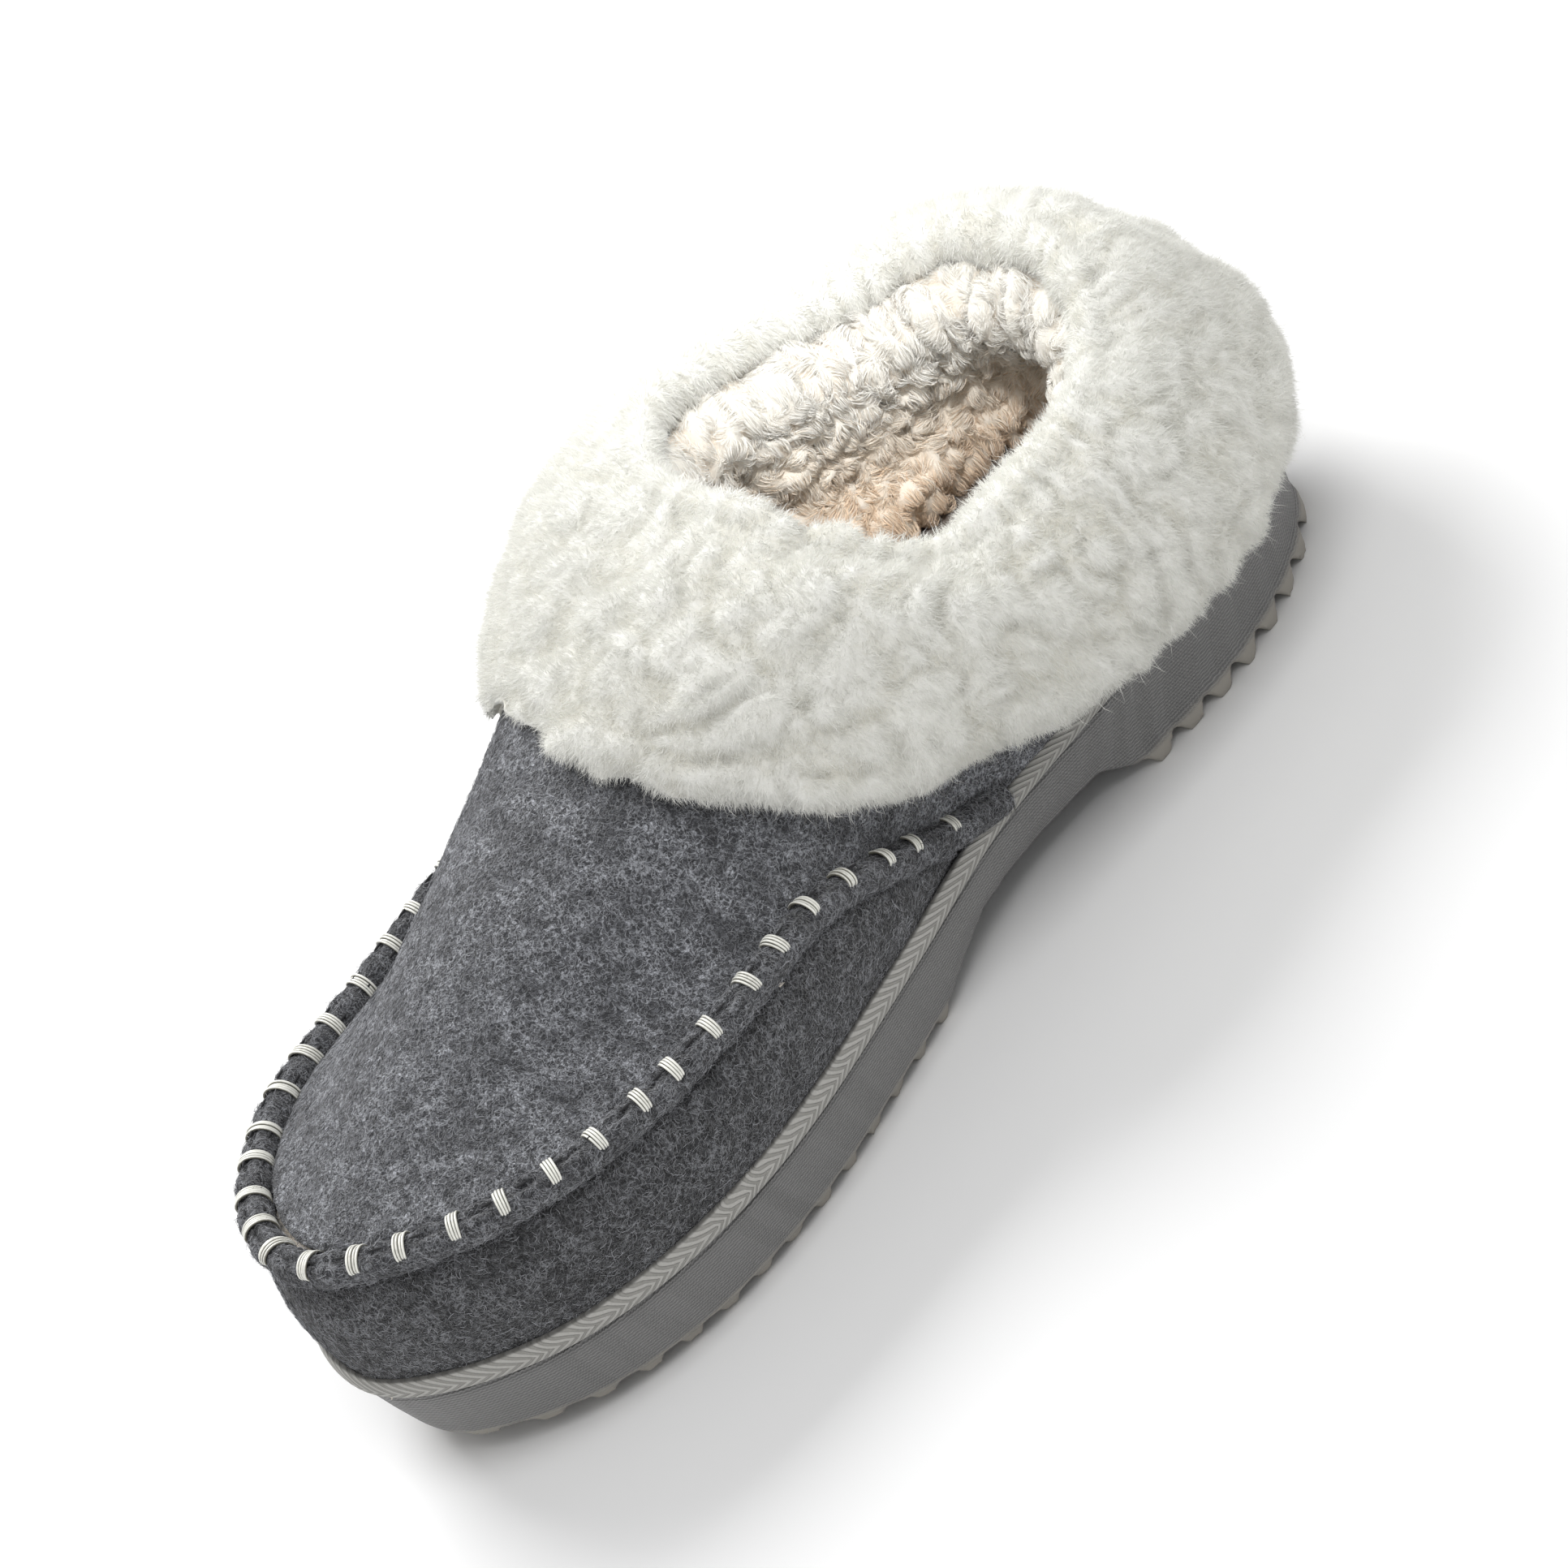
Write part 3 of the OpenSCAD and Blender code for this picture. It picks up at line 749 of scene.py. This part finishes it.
def fleece_of(node, name, voxel, smoothings):
    """A copy of a CAD node as an even, dense skin that can be pushed out in tufts."""
    fleece = copy_of(node, name)
    apply(fleece, "REMESH", mode="VOXEL", voxel_size=voxel, adaptivity=0)
    apply(fleece, "SMOOTH", factor=0.5, iterations=smoothings)
    apply(fleece, "SUBSURF", levels=2)
    return fleece


# The cuff's puffs, from large to small: how wide they are and how far they stand out, in millimetres
SWELL_SIZE = 25
SWELL_RISE = 0.8
RIDGE_SIZE = 8
RIDGE_RISE = 1.5
TUFT_SIZE = 4.2
TUFT_RISE = 0.8
CRUMB_SIZE = 1.9
CRUMB_RISE = 0.35
LIP_RISE = 3.3  # at the opening's edge, where the cuff rolls over
CUFF_SET_BACK = 1.7  # of the whole skin, so that the puffs end near the CAD shape

COAT_COUNT = 420_000
COAT_LENGTHS = (1.1, 2.9)
COAT_WIDTHS = (0.07, 0.13)
STRAY_SHARE = 0.03


def build_cuff():
    """The sherpa cuff: fleece in soft ridges that run out from the rim, under a coat of fibres."""
    cuff = fleece_of("cuff_fur", "cuff_fleece", 3.45 * MM, 6)
    co, normal = points_of(cuff), normals_of(cuff)
    out = co - OPENING
    turn = np.arctan2(out[:, 1], out[:, 0])
    reach = np.hypot(out[:, 0], out[:, 1])
    ring = CUFF_RADIUS * 0.9
    lay = 0.55 * (co[:, 2] - 0.8 * reach)
    places = np.stack([ring * np.cos(turn), ring * np.sin(turn), lay], 1)
    places = places + wobble_vectors(co, 9 * MM) * 2.0 * MM
    ridge = billow(places, RIDGE_SIZE * MM)
    tuft = billow(places, TUFT_SIZE * MM, 5.0)
    crumb = billow(co, CRUMB_SIZE * MM, 9.0)
    lip = smooth(1.5 * MM, -1 * MM, from_rim(co)[0])
    # the pile lies flatter over the front of the outer side
    tight = smooth(0, -25 * MM, co[:, 0]) * smooth(45 * MM, 10 * MM, co[:, 1])
    puffs = (RIDGE_RISE * ridge + TUFT_RISE * tuft) * (1 - 0.55 * np.maximum(lip, tight))
    height = puffs + CRUMB_RISE * crumb + SWELL_RISE * wobble(co, SWELL_SIZE * MM)
    height += LIP_RISE * lip - 0.6 * tight * (1 - lip) - CUFF_SET_BACK
    free = open_to_air(co, normal, UPPER, reach=5 * MM)
    height = np.where(free, height, np.minimum(height, 0) * 0.3)
    move_to(cuff, co + normal * height[:, None] * MM)
    # painted shade: the tuft mask is high on the puffs and low in the clefts, which the first colour
    # below paints creamy
    note(cuff, "tuft", np.clip(0.15 + 0.5 * ridge + 0.35 * tuft + 0.2 * crumb, 0, 1))
    look = pile_material("cuff_fleece_look", (0.77, 0.745, 0.65), (0.88, 0.875, 0.835))
    place(cuff, "cuff_pile", look, "cuff_fur")
    grow_coat(cuff, free)


def grow_coat(cuff, free):
    """Fibres of the cuff: neighbours lean the same way, so they read as brushed tufts."""
    count = COAT_COUNT
    near, root, normal = scatter(cuff, count, free)
    co = points_of(cuff)
    swirl = (wobble_vectors(co, 5 * MM) + 0.6 * wobble_vectors(co, 12 * MM))[near]
    length = rng.uniform(*COAT_LENGTHS, count) * MM
    stray = rng.random(count) < STRAY_SHARE
    length[stray] *= 1.9
    loose = rng.normal(size=(count, 3)) * np.where(stray, 0.5, 0.3)[:, None]
    way = unit(normal * 0.85 + hang(root, normal) * 0.4 + swirl * 0.6 + loose)
    root = root - normal * 0.5 * MM
    middle = root + (way * 0.4 + normal * 0.14 + rng.normal(size=(count, 3)) * 0.06) * length[:, None]
    tip = root + way * length[:, None]
    width = rng.uniform(*COAT_WIDTHS, count) * MM
    look = fibre_material("cuff_fibre_look", (0.865, 0.862, 0.822))
    fibre_pieces("cuff_fibres", "cuff_pile", look, (root, middle, tip), width)


# The lining's nodules, as above, and how much deeper its pile stands where it shows
NODULE_SIZE = 4.5
NODULE_RISE = 2.0
CURL_SIZE = 2.2
CURL_RISE = 0.8
RIM_HEAP = 4.2
FOOTBED_HEAP = 4.8
FRONT_HEAP = 4.0
LINING_RISE = 1.0

LOCK_GAP = 3.2 * MM
LOCK_RADII = (0.7, 1.5)
LOCK_BENDS = (2.2, 4.4)  # radians
LOCK_WIDTHS = (0.09, 0.15)
LOCK_STATIONS = (0, 0.2, 0.45, 0.7, 1.0)
SIGHT = 85 * MM  # locks grow no farther than this from the opening's centre


def build_lining(node, name, count):
    """Curly sherpa: small nodules of twisted locks, on the foot's side only."""
    lining = fleece_of(node, name, 2.75 * MM, 3)
    co, normal = points_of(lining), normals_of(lining)
    warped = co + wobble_vectors(co, 5 * MM) * 1.6 * MM
    nodule = billow(warped, NODULE_SIZE * MM, 2.0)
    curl = billow(warped, CURL_SIZE * MM, 7.0)
    below = -from_rim(co)[1]
    above_floor = co[:, 2] - co[:, 2].min()
    behind_front = co[:, 1] - co[:, 1].min()
    heap = RIM_HEAP * smooth(34 * MM, -4 * MM, below)
    heap += FOOTBED_HEAP * smooth(20 * MM, 4 * MM, above_floor)
    heap += FRONT_HEAP * smooth(8 * MM, 1 * MM, behind_front)
    height = NODULE_RISE * nodule + CURL_RISE * curl + 0.6 * wobble(co, 15 * MM)
    height += LINING_RISE + heap
    free = open_to_air(co, normal, UPPER, reach=4 * MM)
    height = np.where(free, height, 0)
    move_to(lining, co + normal * height[:, None] * MM)
    # painted shade: the fleece darkens deeper below the rim
    shaded = 1 - 0.6 * smooth(0, 30 * MM, below)
    note(lining, "tuft", np.clip(0.1 + 0.6 * nodule + 0.4 * curl, 0, 1) * shaded)
    place(lining, "lining_pile", lining_look, node)
    if count:
        grow_locks(lining, name, count, free)


def grow_locks(lining, name, count, free):
    """Fibres that share one curl per lock, so each lock bends over like a little hook. The locks
    are pale at the rim and painted darker and warmer deeper inside, a painted shade."""
    count = count
    co = points_of(lining)
    owner = share_out(co, spread_seeds(co, LOCK_GAP))
    in_sight = np.linalg.norm(co - OPENING, axis=1) < SIGHT
    near, root, normal = scatter(lining, count, free & in_sight)
    lock = owner[near]
    heading = rng.normal(size=co.shape) * 0.8 - UP * 0.7
    lean = unit(heading[lock] - normal * (heading[lock] * normal).sum(1, keepdims=True))
    radius = rng.uniform(*LOCK_RADII, len(co))[lock][:, None] * MM
    bend = rng.uniform(*LOCK_BENDS, len(co))[lock][:, None] + rng.normal(0, 0.25, (count, 1))
    pull = co[lock] - root
    path = []
    for s in LOCK_STATIONS:
        angle = bend * s
        hook = radius * ((1 - np.cos(angle)) * lean + np.sin(angle) * normal)
        path.append(root + hook + pull * 0.5 * s + normal * (0.35 * s - 0.3) * MM)
    width = rng.uniform(*LOCK_WIDTHS, count) * MM
    inside = open_to_air(root, unit(path[-1] - root), UPPER, reach=6 * MM)
    depth = -from_rim(root)[1] + rng.normal(0, 5, count) * MM
    for tone, (low, high, look) in lock_tones.items():
        chosen = inside & (depth > low) & (depth <= high)
        if chosen.any():
            part = [station[chosen] for station in path]
            fibre_pieces(f"{name}_{tone}", "lining_pile", look, part, width[chosen])


FUZZ_LENGTHS = (0.9, 2.2)
FUZZ_WIDTHS = (0.06, 0.11)


def build_fuzz(name, colour, pieces, count, rise):
    """Wool fibres of one colour that lie on the felt and stand off it a little."""
    share = count // len(pieces)
    found = [scatter(piece, share, np.ones(len(piece.data.vertices), bool)) for piece in pieces]
    root = np.concatenate([f[1] for f in found])
    normal = np.concatenate([f[2] for f in found])
    total = len(root)
    lie = unit(np.cross(normal, rng.normal(size=(total, 3))))
    curl = np.cross(normal, lie) * rng.normal(0, 0.35, (total, 1))
    length = rng.uniform(*FUZZ_LENGTHS, total)[:, None] * MM
    lift = rng.uniform(0.0, rise, total)[:, None]
    path = []
    for s in (0, 1 / 3, 2 / 3, 1):
        way = lie * s + curl * math.sin(math.pi * s) + normal * (lift * s + 0.04)
        path.append(root + way * length)
    width = rng.uniform(*FUZZ_WIDTHS, total) * MM
    fibre_pieces(name, "felt", fibre_material(name + "_look", colour), path, width)


def build_plain(node, name, slot, material, levels=1, crease=50):
    """A hidden or small piece: the CAD shape with softened edges."""
    piece = copy_of(node, name, crease)
    apply(piece, "SUBSURF", levels=levels)
    return place(piece, slot, material, node)


# ---- the slipper -------------------------------------------------------------------------------
felt_top = felt_material(
    "felt_look", (0.04, 0.0415, 0.047), (0.152, 0.156, 0.173), (0.5, 0.515, 0.56)
)
# the same felt painted darker for the rolled seam: painted shade
felt_roll_painted_shade = felt_material(
    "felt_roll_painted_shade_look", (0.02, 0.0205, 0.0235), (0.1, 0.1025, 0.113), (0.36, 0.37, 0.4)
)
# the same felt painted darker still for the side walls: painted shade
felt_side_painted_shade = felt_material(
    "felt_wall_painted_shade_look", (0.012, 0.0123, 0.0135), (0.062, 0.063, 0.069), (0.25, 0.256, 0.275)
)
BOARD_GRAIN = 700.0
FOAM_GRAIN = 1200.0
THREAD_GRAIN = 1500.0
board = grained_material("board_look", (0.3, 0.24, 0.16), (0.5, 0.42, 0.31), BOARD_GRAIN)
foam = grained_material("foam_look", (0.6, 0.53, 0.33), (0.8, 0.74, 0.52), FOAM_GRAIN, depth=0.3)
thread = grained_material("thread_look", (0.5, 0.48, 0.42), (0.75, 0.72, 0.66), THREAD_GRAIN)
dark_thread = grained_material(
    "dark_thread_look", (0.012, 0.012, 0.013), (0.035, 0.035, 0.038), THREAD_GRAIN
)
stay = cloth_material("stay_tape_look", (0.5, 0.48, 0.43), (0.72, 0.7, 0.64), threads_per_mm=1.1)
knit = cloth_material("backing_look", (0.5, 0.48, 0.42), (0.72, 0.7, 0.63), threads_per_mm=0.9)
insole = cloth_material(
    "insole_cloth_look", (0.12, 0.095, 0.078), (0.25, 0.215, 0.185), threads_per_mm=0.8
)

build_sole()
build_tape()
wall_felt = build_felt("toe_wall", "toe_wall_felt", "felt_wall", felt_side_painted_shade)
vamp_felt = build_felt("vamp_plug", "vamp_felt", "felt", felt_top)
tuck_in(vamp_felt)
build_felt("quarter_medial", "quarter_felt_medial", "felt", felt_top)
build_felt("quarter_lateral", "quarter_felt_lateral", "felt", felt_top)
stitches = copy_of("whip_stitches", "stitch_source")
stitch_arcs = [arc_of(part) for part in islands(stitches)]
bpy.data.objects.remove(stitches)
roll_felt = build_roll(felt_roll_painted_shade, stitch_arcs)
build_yarn(stitch_arcs)
build_plain("seam_topstitches", "seam_thread", "thread_dark", dark_thread, levels=2, crease=180)
build_plain("insole_board", "insole_board_grain", "board", board)
build_plain("strobel_stitches", "strobel_thread", "thread_white", thread)
build_plain("foam_footbed", "footbed_foam", "foam", foam, levels=2)
cover = build_plain("sock_lining", "insole_cover", "insole_cloth", insole, levels=3)
build_plain("heel_seam_tape", "heel_seam_stay", "stay_tape", stay)
build_plain("topline_tape", "topline_stay", "stay_tape", stay)
build_plain("heel_counter", "heel_stiffener", "board", board)
build_plain("cuff_backing", "cuff_knit", "knit_backing", knit)
build_cuff()
# the first colour is the painted shade in the fleece's clefts
lining_look = pile_material("lining_fleece_look", (0.88, 0.76, 0.62), (0.96, 0.93, 0.86))
# How deep below the rim each tone of lock begins and ends; the warm and deep tones are painted shade
WARM_FROM = 18 * MM
DEEP_FROM = 32 * MM
lock_tones = {
    "pale": (-math.inf, WARM_FROM, fibre_material("lining_fibre_pale", (0.96, 0.945, 0.9))),
    "warm": (WARM_FROM, DEEP_FROM, fibre_material("lining_fibre_warm_painted_shade", (0.94, 0.86, 0.75))),
    "deep": (DEEP_FROM, math.inf, fibre_material("lining_fibre_deep_painted_shade", (0.87, 0.7, 0.53))),
}
build_lining("heel_lining", "heel_sherpa", count=100_000)
build_lining("vamp_lining", "vamp_sherpa", count=45_000)
build_lining("wall_lining", "wall_sherpa", count=0)  # too deep inside for its locks to show
# fibres are shared out evenly, so a larger panel is listed once for each share it takes
fuzzy = 2 * [wall_felt] + 3 * [vamp_felt] + [roll_felt]
build_fuzz("felt_fibres_pale", (0.36, 0.365, 0.39), fuzzy, count=60_000, rise=0.22)
build_fuzz("felt_fibres_dark", (0.025, 0.026, 0.03), fuzzy, count=50_000, rise=0.12)

# ---- studio ------------------------------------------------------------------------------------
FLOOR_HALF = 4.0
MIDDLE = (0, 0, 40 * MM)  # of the slipper
floor = triangle_piece(
    "floor",
    np.array([[-1, -1, 0], [1, -1, 0], [1, 1, 0], [-1, 1, 0]], float) * FLOOR_HALF,
    np.array([[0, 1, 2], [0, 2, 3]]),
)
paper = Surface("floor_paper", 0.9)
paper.shader.inputs["Base Color"].default_value = (0.93, 0.93, 0.93, 1)
floor.data.materials.append(paper.material)

world = bpy.data.worlds.new("studio")
scene.world = world
world.use_nodes = True
world.node_tree.nodes["Background"].inputs["Color"].default_value = (1, 1, 1, 1)
world.node_tree.nodes["Background"].inputs["Strength"].default_value = 0.45
scene.view_settings.view_transform = "Standard"


def hang_lamp(name, lamp, direction, distance, aim, power):
    """Puts a lamp at a distance in a direction, looking at a point."""
    lamp.energy = power
    holder = bpy.data.objects.new(name, lamp)
    scene.collection.objects.link(holder)
    way = Vector(direction).normalized()
    holder.location = Vector(aim) + way * distance
    holder.rotation_mode = "QUATERNION"
    holder.rotation_quaternion = way.to_track_quat("Z", "Y")


def softbox(name, direction, distance, size, power):
    """A square lamp that faces the slipper's middle."""
    lamp = bpy.data.lights.new(name, "AREA")
    lamp.shape = "SQUARE"
    lamp.size = size
    hang_lamp(name, lamp, direction, distance, MIDDLE, power)


def snoot(name, direction, distance, aim, angle, power):
    """A narrow lamp with a soft edge."""
    lamp = bpy.data.lights.new(name, "SPOT")
    lamp.spot_size = math.radians(angle)
    lamp.spot_blend = 1
    lamp.shadow_soft_size = 0.05
    hang_lamp(name, lamp, direction, distance, aim, power)


BOX_DISTANCE = 1.5
BOX_SIZE = 0.8
softbox("key_light", (-0.95, 0.15, 0.95), BOX_DISTANCE, BOX_SIZE, power=19.5)
softbox("top_light", (0.45, -0.05, 1.0), BOX_DISTANCE, BOX_SIZE, power=8.5)
far_lining = OPENING + np.array((-29, 3, 3)) * MM
snoot("opening_light", (0.6, -0.05, 0.8), 0.7, far_lining, angle=8, power=32)

# ---- camera: the angle from which the slipper is seen, with its toe to the lower left -----------
AZIMUTH = math.radians(67.5)
ELEVATION = math.radians(35.25)
ROLL = math.radians(-36.17)
DISTANCE = 1.1
LENS = 138
camera = bpy.data.objects.new("camera", bpy.data.cameras.new("camera"))
scene.collection.objects.link(camera)
scene.camera = camera
flat = math.cos(ELEVATION)
back = Vector((math.sin(AZIMUTH) * flat, -math.cos(AZIMUTH) * flat, math.sin(ELEVATION)))
level = (-back).cross(Vector((0, 0, 1))).normalized()
above = level.cross(-back)
right = level * math.cos(ROLL) + above * math.sin(ROLL)
top = above * math.cos(ROLL) - level * math.sin(ROLL)
AIM = Vector((4.3, 0.9, 40)) * MM
camera.rotation_mode = "QUATERNION"
turned = Matrix((right, top, back)).transposed().to_4x4()
camera.matrix_world = Matrix.Translation(AIM + back * DISTANCE) @ turned
camera.data.lens = LENS
camera.data.sensor_width = 36
camera.data.clip_start = 0.05
camera.data.clip_end = 20
